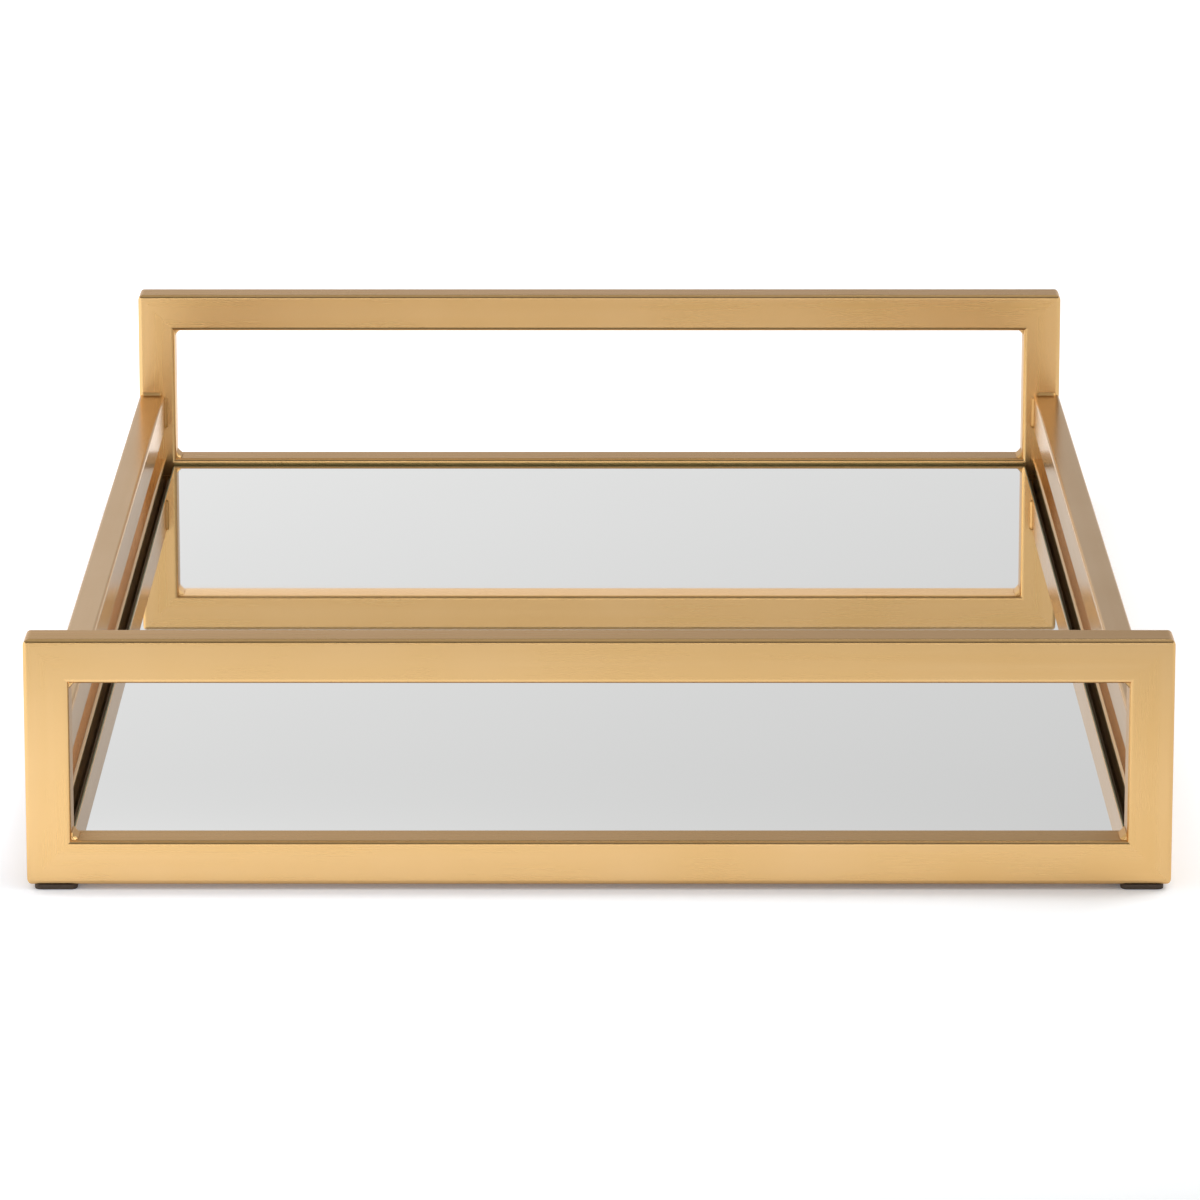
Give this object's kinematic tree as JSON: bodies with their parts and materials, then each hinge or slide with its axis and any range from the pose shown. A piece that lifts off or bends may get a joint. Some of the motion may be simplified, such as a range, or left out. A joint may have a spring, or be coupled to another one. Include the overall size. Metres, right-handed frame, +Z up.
{
  "type": "dresser vanity tray",
  "caption": "Rectangular mirrored vanity tray with low side rails and an open square-tube loop at each end that serves as a handle.",
  "frame": {"origin": "on the table, in the plane of the foot pads' undersides, under the middle of the tray", "axes": "+Z up, +Y along the tray's length towards the rear loop, +X to the right seen from the front loop"},
  "size_m": [0.254, 0.406, 0.0572],
  "materials": {
    "loop_metal": "satin brushed gold plating",
    "rail_metal": "smoother, glossier gold plating",
    "weld_metal": "plated weld bead, lightly dressed",
    "ledge_metal": "gold plating, unpolished",
    "board": "bare brown hardboard",
    "screw_steel": "zinc plated",
    "tape": "white foam",
    "mirror": "clear silvered glass",
    "foot_rubber": "matt dark brown rubber"
  },
  "bodies": {
    "root": {"front_bottom_bar": "loop_metal", "front_top_bar": "loop_metal", "front_left_upright": "loop_metal", "front_right_upright": "loop_metal", "front_corner_welds": "weld_metal", "rear_bottom_bar": "loop_metal", "rear_top_bar": "loop_metal", "rear_left_upright": "loop_metal", "rear_right_upright": "loop_metal", "rear_corner_welds": "weld_metal", "left_upper_rail": "rail_metal", "left_lower_rail": "rail_metal", "right_upper_rail": "rail_metal", "right_lower_rail": "rail_metal", "upper_rail_welds": "weld_metal", "front_ledge": "ledge_metal", "rear_ledge": "ledge_metal", "left_ledge": "ledge_metal", "right_ledge": "ledge_metal", "backing_board": "board", "board_screws": "screw_steel", "left_tape_strip": "tape", "centre_tape_strip": "tape", "right_tape_strip": "tape", "mirror": "mirror", "front_left_foot": "foot_rubber", "front_right_foot": "foot_rubber", "rear_left_foot": "foot_rubber", "rear_right_foot": "foot_rubber"}
  },
  "joints": []
}
